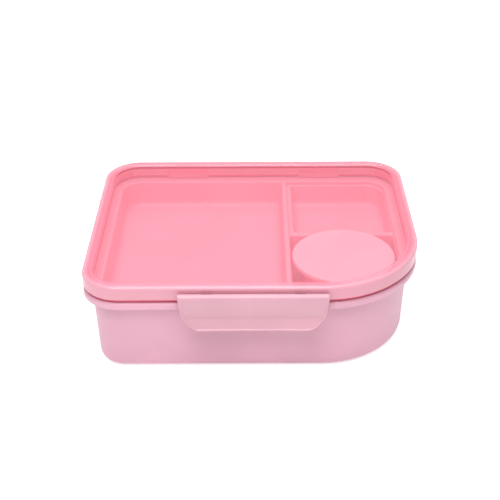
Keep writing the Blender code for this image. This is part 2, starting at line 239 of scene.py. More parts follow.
@dataclass(frozen=True)
class MouldedPlastic:
    """Injection-moulded polypropylene: fine spark-eroded grain, faint flow marks and a soft sheen."""

    name: str
    colour: tuple[float, float, float]
    roughness: float = 0.42
    grain: float = 0.05
    grain_depth: float = 0.0004
    grain_scale: float = 2600.0
    flow_scale: float = 22.0
    scuff_scale: float = 130.0
    mottle: float = 0.03
    subsurface: float = 0.12
    subsurface_depth: float = 0.003

    def build(self) -> bpy.types.Material:
        """Makes the material.

        Returns:
            The finished material.
        """
        nodes = Nodes(self.name)
        place = nodes.add("ShaderNodeTexCoord").outputs["Object"]
        flow = nodes.add("ShaderNodeTexNoise", Scale=self.flow_scale, Detail=3.0, Roughness=0.5)
        speck = nodes.add("ShaderNodeTexNoise", Scale=self.grain_scale, Detail=2.0)
        scuff = nodes.add("ShaderNodeTexNoise", Scale=self.scuff_scale, Detail=5.0, Roughness=0.62)
        for texture in (flow, speck, scuff):
            nodes.wire(place, texture.inputs["Vector"])
        deep = linear(*[shade * (1 - self.mottle) for shade in self.colour])
        pale = linear(*[min(255.0, shade * (1 + self.mottle * 0.6)) for shade in self.colour])
        tone = nodes.ramp(flow.outputs["Fac"], ((0.3, deep), (0.7, pale)))
        nodes.wire(tone, nodes.shader.inputs["Base Color"])
        sheen = nodes.spread(scuff.outputs["Fac"], self.roughness - 0.07, self.roughness + 0.09)
        nodes.wire(sheen, nodes.shader.inputs["Roughness"])
        nodes.roughen(speck.outputs["Fac"], self.grain, self.grain_depth)
        nodes.shader.inputs["Subsurface Weight"].default_value = self.subsurface
        nodes.shader.inputs["Subsurface Radius"].default_value = (1.0, 0.55, 0.6)
        nodes.shader.inputs["Subsurface Scale"].default_value = self.subsurface_depth
        nodes.shader.inputs["IOR"].default_value = POLYMER_IOR
        return nodes.material


@dataclass(frozen=True)
class TintedClear:
    """See-through tinted plastic: clear in the panel, milkier in the wall, with a line of painted shade
    inside the raised ring.

    Three point attributes drive it: skirt is 1 in the outer wall, haze is how milky a place is, and
    the third is 1 along the raised ring's inner edge, where a deeper, more opaque pink is painted as
    shade.
    """

    name: str
    colour: tuple[float, float, float]
    skirt_colour: tuple[float, float, float]
    # Painted shade: the deep pink and extra opacity laid along the raised ring's inner edge.
    painted_shade_line_colour: tuple[float, float, float] = (244.0, 138.0, 158.0)
    clear_alpha: float = 0.22
    milky_alpha: float = 0.82
    painted_shade_line_alpha: float = 0.32
    alpha_drift: float = 0.04
    roughness: float = 0.14
    flow_scale: float = 14.0
    scuff_scale: float = 170.0

    def build(self) -> bpy.types.Material:
        """Makes the material.

        Returns:
            The finished material.
        """
        nodes = Nodes(self.name)
        place = nodes.add("ShaderNodeTexCoord").outputs["Object"]
        wall = nodes.add("ShaderNodeAttribute", attribute_name="skirt").outputs["Fac"]
        haze = nodes.add("ShaderNodeAttribute", attribute_name="haze").outputs["Fac"]
        painted_shade_line = nodes.add("ShaderNodeAttribute", attribute_name="painted_shade_line").outputs["Fac"]
        flow = nodes.add("ShaderNodeTexNoise", Scale=self.flow_scale, Detail=2.0)
        scuff = nodes.add("ShaderNodeTexNoise", Scale=self.scuff_scale, Detail=5.0, Roughness=0.6)
        for texture in (flow, scuff):
            nodes.wire(place, texture.inputs["Vector"])
        tone = nodes.ramp(wall, ((0.0, linear(*self.colour)), (1.0, linear(*self.skirt_colour))))
        # Painted shade: deep pink and extra opacity along the ring's inner edge stand in for the shaded
        # channel seen through it.
        nodes.wire(nodes.blend(painted_shade_line, tone, linear(*self.painted_shade_line_colour)), nodes.shader.inputs["Base Color"])
        thick = nodes.spread(painted_shade_line, 0.0, self.painted_shade_line_alpha)
        milk = nodes.spread(haze, self.clear_alpha, self.milky_alpha)
        alpha = nodes.add("ShaderNodeMath", operation="ADD")
        nodes.wire(thick, alpha.inputs[0])
        nodes.wire(milk, alpha.inputs[1])
        drift = nodes.add("ShaderNodeMath", operation="MULTIPLY_ADD")
        nodes.wire(flow.outputs["Fac"], drift.inputs[0])
        drift.inputs[1].default_value = self.alpha_drift
        nodes.wire(alpha.outputs["Value"], drift.inputs[2])
        nodes.wire(drift.outputs["Value"], nodes.shader.inputs["Alpha"])
        sheen = nodes.spread(scuff.outputs["Fac"], self.roughness - 0.05, self.roughness + 0.12)
        nodes.wire(sheen, nodes.shader.inputs["Roughness"])
        nodes.roughen(flow.outputs["Fac"], 0.04, 0.0003)
        nodes.shader.inputs["IOR"].default_value = POLYMER_IOR
        return nodes.material


@dataclass(frozen=True)
class Silicone:
    """Matt moulded silicone rubber with a dusty bloom."""

    name: str
    colour: tuple[float, float, float]
    bloom_scale: float = 90.0
    grain_scale: float = 1800.0

    def build(self) -> bpy.types.Material:
        """Makes the material.

        Returns:
            The finished material.
        """
        nodes = Nodes(self.name)
        place = nodes.add("ShaderNodeTexCoord").outputs["Object"]
        bloom = nodes.add("ShaderNodeTexNoise", Scale=self.bloom_scale, Detail=4.0, Roughness=0.6)
        fine = nodes.add("ShaderNodeTexNoise", Scale=self.grain_scale, Detail=2.0)
        nodes.wire(place, bloom.inputs["Vector"])
        nodes.wire(place, fine.inputs["Vector"])
        dark = linear(*self.colour)
        dusty = linear(*[min(255.0, shade * 1.07 + 4) for shade in self.colour])
        tone = nodes.ramp(bloom.outputs["Fac"], ((0.35, dark), (0.75, dusty)))
        nodes.wire(tone, nodes.shader.inputs["Base Color"])
        nodes.wire(nodes.spread(bloom.outputs["Fac"], 0.55, 0.75), nodes.shader.inputs["Roughness"])
        nodes.roughen(fine.outputs["Fac"], 0.08, 0.0003)
        return nodes.material


@dataclass(frozen=True)
class DrawnSteel:
    """Drawn stainless rod, with fine lines along its length."""

    name: str
    colour: tuple[float, float, float] = (196.0, 196.0, 200.0)
    line_scale: tuple[float, float, float] = (60.0, 5200.0, 5200.0)

    def build(self) -> bpy.types.Material:
        """Makes the material.

        Returns:
            The finished material.
        """
        nodes = Nodes(self.name)
        place = nodes.add("ShaderNodeTexCoord").outputs["Object"]
        stretch = nodes.add("ShaderNodeMapping")
        stretch.inputs["Scale"].default_value = self.line_scale
        lines = nodes.add("ShaderNodeTexNoise", Scale=1.0, Detail=3.0)
        nodes.wire(place, stretch.inputs["Vector"])
        nodes.wire(stretch.outputs["Vector"], lines.inputs["Vector"])
        dull = linear(*[shade * 0.86 for shade in self.colour])
        tone = nodes.ramp(lines.outputs["Fac"], ((0.3, dull), (0.7, linear(*self.colour))))
        nodes.wire(tone, nodes.shader.inputs["Base Color"])
        nodes.wire(nodes.spread(lines.outputs["Fac"], 0.24, 0.42), nodes.shader.inputs["Roughness"])
        nodes.shader.inputs["Metallic"].default_value = 1.0
        return nodes.material


# --------------------------------------------------------------------------- surfaces


@dataclass(frozen=True)
class Plan:
    """A rounded rectangle seen from above, in metres, with its own radius at each corner.

    The radii run front-left, front-right, back-right, back-left.
    """

    left: float
    right: float
    front: float
    back: float
    radii: tuple[float, float, float, float]
    arc_step: float = 1.6 * MM

    def rings(self, insets: np.ndarray) -> np.ndarray:
        """Points round the plan at each inset, anticlockwise seen from above.

        A corner of radius R pulled in by d is an arc of radius R - d about the same centre, so the
        centre is the corner moved inward by d plus that arc's radius.

        Args:
            insets: How far each ring is pulled in, shape (M,).

        Returns:
            Positions of shape (M, N, 2).
        """
        corner_x = np.array((self.left, self.right, self.right, self.left))
        corner_y = np.array((self.front, self.front, self.back, self.back))
        inward_x = np.array((1, -1, -1, 1))
        inward_y = np.array((1, 1, -1, -1))
        starts = np.array((180, 270, 0, 90))
        counts = [max(6, int(radius * math.pi / 2 / self.arc_step)) for radius in self.radii]
        which = np.repeat(np.arange(4), [count + 1 for count in counts])
        turn = np.concatenate([np.linspace(0, 90, count + 1) for count in counts])
        angle = np.radians(starts[which] + turn)
        depth = np.asarray(insets, float)[:, None]
        radius = np.maximum(np.array(self.radii)[which][None, :] - depth, LEAST_R)
        middle_x = corner_x[which] + inward_x[which] * (depth + radius)
        middle_y = corner_y[which] + inward_y[which] * (depth + radius)
        return np.stack((middle_x + radius * np.cos(angle), middle_y + radius * np.sin(angle)), axis=-1)

    def inset(self, points: np.ndarray) -> np.ndarray:
        """How far inside the outline each point lies.

        Near a corner it is the radius less the distance to the arc's centre, and elsewhere the
        distance to the nearest side.

        Args:
            points: Positions of shape (K, 3) or (K, 2).

        Returns:
            The insets, shape (K,).
        """
        x, y = points[:, 0], points[:, 1]
        to_side = np.minimum(x - self.left, self.right - x)
        to_end = np.minimum(y - self.front, self.back - y)
        on_right = x > (self.left + self.right) / 2
        at_back = y > (self.front + self.back) / 2
        front_left, front_right, back_right, back_left = self.radii
        back_radius = np.where(on_right, back_right, back_left)
        front_radius = np.where(on_right, front_right, front_left)
        radius = np.where(at_back, back_radius, front_radius)
        round_off = radius - np.hypot(radius - to_side, radius - to_end)
        return np.where((to_side < radius) & (to_end < radius), round_off, np.minimum(to_side, to_end))


def rounded(
    corners: Sequence[tuple[float, float, float]], looped: bool = False, steps: int = 7
) -> np.ndarray:
    """A path through corners, each replaced by an arc tangent to its two sides.

    The arc's ends lie radius / tan(half the corner's angle) along the sides, and its centre lies
    radius / sin(half the angle) along the line that halves the corner.

    Args:
        corners: Each corner's two coordinates and radius, in millimetres.
        looped: Whether the path closes on itself.
        steps: Segments in each arc.

    Returns:
        The path's points in metres, shape (K, 2).
    """
    spots = np.array([corner[:2] for corner in corners], float)
    path = []
    for index, (_, _, radius) in enumerate(corners):
        here = spots[index]
        at_end = not looped and index in (0, len(corners) - 1)
        if at_end or radius <= 0:
            path.append(here[None, :])
            continue
        before = spots[index - 1] - here
        after = spots[(index + 1) % len(spots)] - here
        to_before = before / np.linalg.norm(before)
        to_after = after / np.linalg.norm(after)
        half = math.acos(float(np.clip(to_before @ to_after, -1, 1))) / 2
        room = 0.49 * min(np.linalg.norm(before), np.linalg.norm(after))
        reach = min(radius / math.tan(half), room)
        size = reach * math.tan(half)
        inward = (to_before + to_after) / np.linalg.norm(to_before + to_after)
        middle = here + inward * size / math.sin(half)
        first = here + to_before * reach - middle
        last = here + to_after * reach - middle
        sweep = math.acos(float(np.clip(first @ last / size**2, -1, 1)))
        share = np.linspace(0, 1, steps + 1)[:, None]
        arc = np.sin((1 - share) * sweep) * first + np.sin(share * sweep) * last
        path.append(middle + arc / math.sin(sweep))
    return np.concatenate(path) * MM


def grid_faces(rows: int, columns: int, rows_wrap: bool = False) -> list[tuple[int, ...]]:
    """Four-sided faces of a grid whose columns wrap round.

    Args:
        rows: Points along the first parameter.
        columns: Points round the second.
        rows_wrap: Whether the first parameter wraps round too.

    Returns:
        Vertex numbers of each face.
    """
    numbers = np.arange(rows * columns).reshape(rows, columns)
    beside = np.roll(numbers, -1, axis=1)
    below = np.roll(numbers, -1, axis=0)
    across = np.roll(beside, -1, axis=0)
    last = rows if rows_wrap else rows - 1
    quads = np.stack((numbers, beside, across, below), axis=-1)[:last]
    return [tuple(quad) for quad in quads.reshape(-1, 4).tolist()]


def solid(name: str, points: np.ndarray, rows_wrap: bool = False) -> bpy.types.Object:
    """An object from a grid of points, capped at both ends unless its rows wrap.

    Args:
        name: The object's name.
        points: Positions of shape (M, N, 3), whose columns wrap round.
        rows_wrap: Whether the rows wrap round too, which leaves nothing to cap.

    Returns:
        A closed object with its faces outward.
    """
    rows, columns = points.shape[:2]
    faces = grid_faces(rows, columns, rows_wrap)
    if not rows_wrap:
        faces.append(tuple(range(columns)))
        faces.append(tuple(range((rows - 1) * columns, rows * columns)))
    mesh = bpy.data.meshes.new(name)
    mesh.from_pydata(points.reshape(-1, 3).tolist(), [], faces)
    shape = bmesh.new()
    shape.from_mesh(mesh)
    bmesh.ops.recalc_face_normals(shape, faces=shape.faces)
    shape.to_mesh(mesh)
    shape.free()
    made = bpy.data.objects.new(name, mesh)
    bpy.context.scene.collection.objects.link(made)
    return made


def carried(name: str, plan: Plan, profile: np.ndarray, looped: bool = False) -> bpy.types.Object:
    """A side profile carried round a plan: point (i, j) is ring i of the plan at profile height i.

    Args:
        name: The object's name.
        plan: The outline seen from above.
        profile: Insets and heights, shape (M, 2).
        looped: Whether the profile closes on itself, as a seal's does.

    Returns:
        The solid.
    """
    flat = plan.rings(profile[:, 0])
    heights = np.broadcast_to(profile[:, 1][:, None, None], (*flat.shape[:2], 1))
    return solid(name, np.concatenate((flat, heights), axis=-1), looped)


def turned(
    name: str,
    profile: np.ndarray,
    centre: tuple[float, float, float],
    axis: Axis,
    steps: int = 96,
) -> bpy.types.Object:
    """A profile turned about an axis: point (i, j) is radius i at angle j and place i on the axis.

    Args:
        name: The object's name.
        profile: Radii and places along the axis, shape (M, 2).
        centre: Where the axis's zero lies.
        axis: Which way the axis runs.
        steps: Points round the circle.

    Returns:
        The solid, capped by small flats at both ends.
    """
    angle = np.linspace(0, 2 * np.pi, steps, endpoint=False)[None, :]
    radius = profile[:, 0][:, None]
    along = np.broadcast_to(profile[:, 1][:, None], (len(profile), steps))
    side, other = radius * np.cos(angle), radius * np.sin(angle)
    stacked = (side, other, along) if axis is Axis.UP else (along, side, other)
    return solid(name, np.stack(stacked, axis=-1) + np.array(centre))


def arc(y: float, z: float, radius: float, ends: tuple[float, float], count: int) -> np.ndarray:
    """Points on an arc in the plane of Y and Z.

    Args:
        y: The centre along Y.
        z: The centre along Z.
        radius: The arc's radius.
        ends: The first and last angle in degrees, from +Y towards +Z.
        count: How many points.

    Returns:
        The points, shape (count, 2), in the unit of the radius.
    """
    turn = np.radians(np.linspace(*ends, count))
    return np.stack((y + radius * np.cos(turn), z + radius * np.sin(turn)), axis=-1)


def pushed(name: str, outline: np.ndarray, start: float, end: float) -> bpy.types.Object:
    """An upright outline of (y, z) carried in a straight line along X.

    Args:
        name: The object's name.
        outline: The outline's points, shape (K, 2).
        start: Where along X it begins.
        end: Where along X it ends.

    Returns:
        The solid.
    """
    ends = np.array((start, end))[:, None]
    along = np.broadcast_to(ends, (2, len(outline)))
    across = np.broadcast_to(outline[None, :, 0], (2, len(outline)))
    up = np.broadcast_to(outline[None, :, 1], (2, len(outline)))
    return solid(name, np.stack((along, across, up), axis=-1))


def combine(target: bpy.types.Object, join: Join, others: Sequence[bpy.types.Object]) -> None:
    """Joins or cuts the target with each of the others, then removes them.

    Args:
        target: The object that keeps the result.
        join: Whether the others are added or cut away.
        others: Closed objects to use up.
    """
    for other in others:
        modifier = target.modifiers.new(other.name, "BOOLEAN")
        modifier.operation = join.value
        modifier.solver = "EXACT"
        modifier.object = other
    bpy.context.view_layer.update()
    evaluated = target.evaluated_get(bpy.context.evaluated_depsgraph_get())
    settled = bpy.data.meshes.new_from_object(evaluated)
    target.modifiers.clear()
    target.data = settled
    for other in others:
        bpy.data.objects.remove(other)


def smooth(piece: bpy.types.Object, sharp_degrees: float = 38.0) -> None:
    """Shades a piece smooth, with hard edges past an angle and flats that stay flat.

    Args:
        piece: The object to shade.
        sharp_degrees: The angle between faces past which their edge is hard.
    """
    shape = bmesh.new()
    shape.from_mesh(piece.data)
    bmesh.ops.remove_doubles(shape, verts=shape.verts, dist=MERGE)
    bmesh.ops.dissolve_degenerate(shape, edges=shape.edges, dist=MERGE / 2)
    limit = math.radians(sharp_degrees)
    for face in shape.faces:
        face.smooth = True
    for edge in shape.edges:
        edge.smooth = len(edge.link_faces) == 2 and edge.calc_face_angle(0.0) < limit
    shape.to_mesh(piece.data)
    shape.free()
    weight = piece.modifiers.new("Flats stay flat", "WEIGHTED_NORMAL")
    weight.keep_sharp = True
    weight.weight = 90


def dress(
    piece: bpy.types.Object,
    material: bpy.types.Material,
    body: Body,
    stands_for: Sequence[str],
) -> None:
    """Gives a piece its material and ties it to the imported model.

    Args:
        piece: The finished piece.
        material: Its material.
        body: The body that it moves with.
        stands_for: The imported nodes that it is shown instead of.
    """
    smooth(piece)
    piece.data.materials.clear()
    piece.data.materials.append(material)
    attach(piece, body.value)
    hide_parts(*stands_for)
    corner = max(max(abs(value) for value in spot) for spot in piece.bound_box)
    LOG.info("%s: %d faces, reaches %.1f mm", piece.name, len(piece.data.polygons), corner / MM)


# --------------------------------------------------------------------------- the box's pieces

# Sizes from here on are in millimetres, and are multiplied by MM where they become metres. A carried
# profile's corner is (inset, height, radius), and a turned one's is (distance from axis, height, radius).
HALF_LENGTH = 105.0
HALF_DEPTH = 85.0
CORNER_R = 24.0
SWEPT_CORNER_R = 63.0
RIM_PLAN = Plan(
    -HALF_LENGTH * MM,
    HALF_LENGTH * MM,
    -HALF_DEPTH * MM,
    HALF_DEPTH * MM,
    (CORNER_R * MM, SWEPT_CORNER_R * MM, CORNER_R * MM, CORNER_R * MM),
)
HINGE_Y = 88.8
HINGE_Z = 55.0
HINGE_CENTRES = (-47.5, 47.5)
HINGE_HALF = 14.5
EAR_WIDTH = 3.5
KNUCKLE_R = 3.2
HINGE_BORE_R = 1.8
PIN_BORE_R = 0.9
GAP = 0.3
HUB = 0.4
TRAY_TOP = 52.8
TRAY_FLOOR = 34.0
SHELF_TOP = 50.0
CUP_X = 57.705
CUP_Y = -29.491


@dataclass
class BaseBox:
    """The lower box: foot band, tapered wall, hooked rim, tray ledge and hinge ears."""

    rim_top: float = 53.0
    rim_foot: float = 48.3
    web_under: float = 50.2
    lip: float = 1.6
    wall: float = 1.8
    wall_inset: float = 5.5
    foot_inset: float = 7.5
    edge_r: float = 9.0
    foot_band: float = 4.0
    foot_rise: float = 0.8
    ledge: float = 51.0
    step_inset: float = 4.6
    gate_r: float = 2.6
    gate_drop: float = 0.35
    ear_in: float = 84.2
    ear_out: float = 85.8
    ear_turn: tuple[float, float] = (-30.0, 180.0)
    bore_over: float = 2.0
    finish: MouldedPlastic = field(
        default_factory=lambda: MouldedPlastic("pastel_box_plastic", (214.0, 162.0, 180.0), 0.4)
    )

    def build(self) -> bpy.types.Object:
        """Carries the wall's profile round the plan, then adds the ears.

        Returns:
            The base.
        """
        band_out = self.foot_inset + self.edge_r
        band_in = band_out + self.foot_band
        floor = self.foot_rise + self.wall
        profile = rounded(
            (
                (band_in + 3.2, self.foot_rise, 0),
                (band_in + 0.9, self.foot_rise, 0.5),
                (band_in, 0, 0.5),
                (self.foot_inset, 0, self.edge_r),
                (self.wall_inset, self.web_under, 0.5),
                (self.lip, self.web_under, 0.4),
                (self.lip, self.rim_foot, 0.5),
                (0, self.rim_foot, 0.9),
                (0, self.rim_top, 2.2),
                (self.step_inset, self.rim_top, 0.5),
                (self.step_inset, self.ledge, 0.2),
                (self.wall_inset + self.wall, self.ledge, 0.4),
                (self.foot_inset + self.wall, floor, self.edge_r - self.wall),
                (band_in + 3, floor, 0),
            ),
            steps=9,
        )
        base = carried("base_shell", RIM_PLAN, profile)
        ears = []
        for centre in HINGE_CENTRES:
            for side in (-1, 1):
                outer = (centre + side * HINGE_HALF) * MM
                inner = outer - side * EAR_WIDTH * MM
                name = f"ear_{centre}_{side}"
                ears.append(pushed(name, self.ear_outline(), min(outer, inner), max(outer, inner)))
        combine(base, Join.ADD, ears)
        bores = []
        reach = HINGE_HALF + self.bore_over
        bore = np.array(((HINGE_BORE_R, -reach), (HINGE_BORE_R, reach))) * MM
        for centre in HINGE_CENTRES:
            place = (centre * MM, HINGE_Y * MM, HINGE_Z * MM)
            bores.append(turned(f"ear_bore_{centre}", bore, place, Axis.ALONG, 48))
        combine(base, Join.CUT, bores)
        low, high = self.foot_rise - self.gate_drop, self.foot_rise + 0.3
        lower = ((0.3, low, 0), (self.gate_r, low, 0.25))
        upper = ((self.gate_r + 0.2, high, 0), (0.3, high, 0))
        gate = rounded((*lower, *upper))
        combine(base, Join.ADD, [turned("gate", gate, (0, 0, 0), Axis.UP, 40)])
        return base

    def ear_outline(self) -> np.ndarray:
        """The ear's outline of (y, z): a round end about the hinge, with a foot on the rim's lip.

        Returns:
            The outline, shape (K, 2).
        """
        end = arc(HINGE_Y, HINGE_Z, KNUCKLE_R, self.ear_turn, 40)
        foot_z = self.rim_foot + 0.5
        foot = np.array(((self.ear_in, self.rim_top - 0.9), (self.ear_in, foot_z), (self.ear_out, foot_z)))
        return np.concatenate((end, foot)) * MM

    def assemble(self) -> None:
        """Builds, dresses and ties the base."""
        dress(self.build(), self.finish.build(), Body.BOX, ["base_box"])


@dataclass
class InnerTray:
    """The lift-out tray: a flange plate with a main, a side and a cup compartment."""

    plate: float = 1.5
    wall: float = 1.5
    outer_inset: float = 4.9
    pocket_inset: float = 11.5
    divider_left: float = 20.3
    divider_right: float = 23.6
    low_shelf: float = 3.5
    cross_front: float = 1.01
    cross_back: float = 5.01
    draft: float = 1.4
    floor_r: float = 8.5
    cup_floor_r: float = 5.0
    mouth_r: float = 0.9
    shelf_flare: float = 0.7
    step: float = 0.75
    tight: float = 2.2
    spine_reach: float = 74.0
    cross_end: float = 93.9
    finish: MouldedPlastic = field(
        default_factory=lambda: MouldedPlastic("salmon_tray_plastic", (252.0, 172.0, 187.0), 0.38)
    )

    def pocket_plans(self) -> dict[str, tuple[Plan, float, float]]:
        """Each compartment's mouth outline, mouth height and floor fillet.

        Returns:
            The plans by name.
        """
        left = -HALF_LENGTH + self.pocket_inset
        right = HALF_LENGTH - self.pocket_inset
        front = -HALF_DEPTH + self.pocket_inset
        back = HALF_DEPTH - self.pocket_inset
        wide = CORNER_R - self.pocket_inset
        swept = SWEPT_CORNER_R - self.pocket_inset
        tight, step = self.tight, self.step

        def plan(x0: float, x1: float, y0: float, y1: float, radii: Sequence[float]) -> Plan:
            """A compartment's outline in metres."""
            return Plan(x0 * MM, x1 * MM, y0 * MM, y1 * MM, tuple(r * MM for r in radii), 0.8 * MM)

        side_left = self.divider_right + self.low_shelf
        return {
            "main": (
                plan(left, self.divider_left, front, back, (wide, tight, tight, wide)),
                TRAY_TOP,
                self.floor_r,
            ),
            "side": (
                plan(side_left, right - step, self.cross_back, back - step, (tight, tight, wide, tight)),
                SHELF_TOP,
                self.floor_r,
            ),
            "cup": (
                plan(
                    self.divider_right + step,
                    right - step,
                    front + step,
                    self.cross_front,
                    (tight, swept - step, tight, tight),
                ),
                SHELF_TOP,
                self.cup_floor_r,
            ),
            "shelf": (
                plan(self.divider_right, right, front, back, (tight, swept, wide, tight)),
                TRAY_TOP,
                0.0,
            ),
        }

    def side_profile(self, floor_r: float, grow: float, top: float) -> list[tuple[float, float, float]]:
        """A compartment's side from its floor up to a height, grown outward all round.

        Args:
            floor_r: The fillet between floor and side.
            grow: How far outward the side is moved.
            top: Where the side ends.

        Returns:
            The profile's corners.
        """
        floor = TRAY_FLOOR - grow
        return [
            (self.draft + floor_r + 1.0, floor, 0),
            (self.draft - grow, floor, floor_r + grow),
            (-grow, top, 0),
        ]

    def mouth_profile(self, floor_r: float, mouth: float) -> list[tuple[float, float, float]]:
        """A compartment's cutter, whose mouth opens in a soft edge.

        At the plate's top the edge is round. On the low shelf it is a bevel that stays within the
        shelf's step, so that it doesn't undercut the plate.

        Args:
            floor_r: The fillet between floor and side.
            mouth: The height of the mouth.

        Returns:
            The profile's corners.
        """
        on_shelf = mouth <= SHELF_TOP
        flare = self.shelf_flare if on_shelf else 2 * self.mouth_r
        lower = self.shelf_flare if on_shelf else 0.0
        return [
            (self.draft + floor_r + 1.0, TRAY_FLOOR, 0),
            (self.draft, TRAY_FLOOR, floor_r),
            (0.0, mouth - lower, self.mouth_r),
            (-flare, mouth + 0.001, 0),
            (-flare, mouth + 0.4, 0),
        ]

    def build(self) -> bpy.types.Object:
        """Joins the grown compartments to the plate, then hollows them out.

        Returns:
            The tray.
        """
        foot = TRAY_TOP - self.plate
        joined = TRAY_TOP - self.plate / 2
        flange = rounded(
            (
                (self.outer_inset + 4, foot, 0),
                (self.outer_inset, foot, 0.35),
                (self.outer_inset, TRAY_TOP, 0.5),
                (self.outer_inset + 3.5, TRAY_TOP, 0),
            )
        )
        tray = carried("tray_shell", RIM_PLAN, flange)
        plans = self.pocket_plans()
        grown, cutters = [], []
        for word in ("main", "side", "cup"):
            plan, mouth, floor_r = plans[word]
            side = rounded(self.side_profile(floor_r, self.wall, joined))
            grown.append(carried(f"{word}_body", plan, side))
            hollow = rounded(self.mouth_profile(floor_r, mouth))
            cutters.append(carried(f"{word}_hollow", plan, hollow))
        into = self.wall / 3
        deep = TRAY_FLOOR + self.floor_r + self.wall
        spine_right = self.divider_right + self.low_shelf + into
        spine_across = (self.divider_left - into, spine_right)
        spine_deep = (-self.spine_reach, self.spine_reach)
        grown.append(self.bar("spine", spine_across, spine_deep, deep, joined))
        cross_across = (self.divider_right, self.cross_end)
        cross_deep = (self.cross_front - into, self.cross_back + into)
        grown.append(self.bar("cross", cross_across, cross_deep, deep + into, joined - 0.2))
        combine(tray, Join.ADD, grown)
        plan, mouth, _ = plans["shelf"]
        shelf = [
            (2.0, SHELF_TOP, 0),
            (0.0, SHELF_TOP, 0.5),
            (0.0, mouth, 0.7),
            (-1.4, mouth + 0.001, 0),
            (-1.4, mouth + 2, 0),
        ]
        combine(tray, Join.CUT, [carried("shelf_hollow", plan, rounded(shelf))])
        combine(tray, Join.CUT, cutters)
        return tray

    def bar(
        self,
        name: str,
        across: tuple[float, float],
        deep: tuple[float, float],
        low: float,
        high: float,
    ) -> bpy.types.Object:
        """A solid bar that fills a divider between two compartments.

        Args:
            name: The object's name.
            across: Its extent along X.
            deep: Its extent along Y.
            low: Its underside.
            high: Its top.

        Returns:
            The bar.
        """
        outline = np.array(((deep[0], low), (deep[1], low), (deep[1], high), (deep[0], high))) * MM
        return pushed(name, outline, across[0] * MM, across[1] * MM)

    def assemble(self) -> None:
        """Builds, dresses and ties the tray."""
        dress(self.build(), self.finish.build(), Body.BOX, ["inner_tray"])


@dataclass
class SauceCup:
    """The round cup and its press-on lid."""

    lid_r: float = 33.0
    lid_top: float = 53.2
    lid_foot: float = 50.3
    skirt: float = 1.5
    plate: float = 1.4
    wall: float = 1.3
    rim: float = 1.1
    foot_r: float = 25.4
    foot: float = 34.3
    plug: float = 2.2
    dip: float = 0.15
    cup_finish: MouldedPlastic = field(
        default_factory=lambda: MouldedPlastic("pink_cup_plastic", (250.0, 172.0, 188.0), 0.36)
    )
    lid_finish: MouldedPlastic = field(
        default_factory=lambda: MouldedPlastic("pale_cup_lid_plastic", (255.0, 196.0, 208.0), 0.36)
    )

    def build_cup(self) -> bpy.types.Object:
        """Turns the cup's wall, floor and rim.

        Returns:
            The cup.
        """
        rim_r = self.lid_r - self.skirt - GAP
        body_r = rim_r - self.rim
        bore_r = body_r - self.wall
        rim_top = self.lid_top - self.plate - GAP
        rim_foot = rim_top - self.rim
        floor = self.foot + self.wall
        profile = rounded(
            (
                (HUB, floor, 0),
                (self.foot_r - 1.6 * self.wall, floor, 2.0),
                (bore_r, rim_foot, 0.3),
                (bore_r, rim_top, 0.4),
                (rim_r, rim_top, 0.4),
                (rim_r, rim_foot, 0.3),
                (body_r, rim_foot, 0.2),
                (self.foot_r - 0.6, self.foot + 0.5, 2.0),
                (self.foot_r - 4, self.foot + 0.5, 0.5),
                (self.foot_r - 4.6, self.foot + 0.05, 0.3),
                (HUB, self.foot + 0.05, 0),
            )
        )
        return turned("sauce_cup_body", profile, (CUP_X * MM, CUP_Y * MM, 0), Axis.UP, 128)

    def build_lid(self) -> bpy.types.Object:
        """Turns the cup's lid, with its skirt and plug ring.

        Returns:
            The cup's lid.
        """
        skirt_in = self.lid_r - self.skirt
        under = self.lid_top - self.plate
        plug_out = self.lid_r - self.skirt - GAP - self.rim - self.wall - GAP
        plug_in = plug_out - self.skirt
        profile = rounded(
            (
                (HUB, self.lid_top - self.dip, 0),
                (self.lid_r - 4.2, self.lid_top - self.dip, 0.8),
                (self.lid_r - 3.2, self.lid_top, 0.8),
                (self.lid_r, self.lid_top, 1.1),
                (self.lid_r, self.lid_foot, 0.4),
                (skirt_in, self.lid_foot, 0.4),
                (skirt_in, under, 0.2),
                (plug_out, under, 0.2),
                (plug_out, under - self.plug, 0.6),
                (plug_in, under - self.plug, 0.6),
                (plug_in, under, 0.4),
                (HUB, under, 0),
            )
        )
        return turned("sauce_cup_cover", profile, (CUP_X * MM, CUP_Y * MM, 0), Axis.UP, 128)

    def assemble(self) -> None:
        """Builds, dresses and ties the cup and its lid."""
        dress(self.build_cup(), self.cup_finish.build(), Body.BOX, ["sauce_cup"])
        dress(self.build_lid(), self.lid_finish.build(), Body.BOX, ["sauce_cup_lid"])


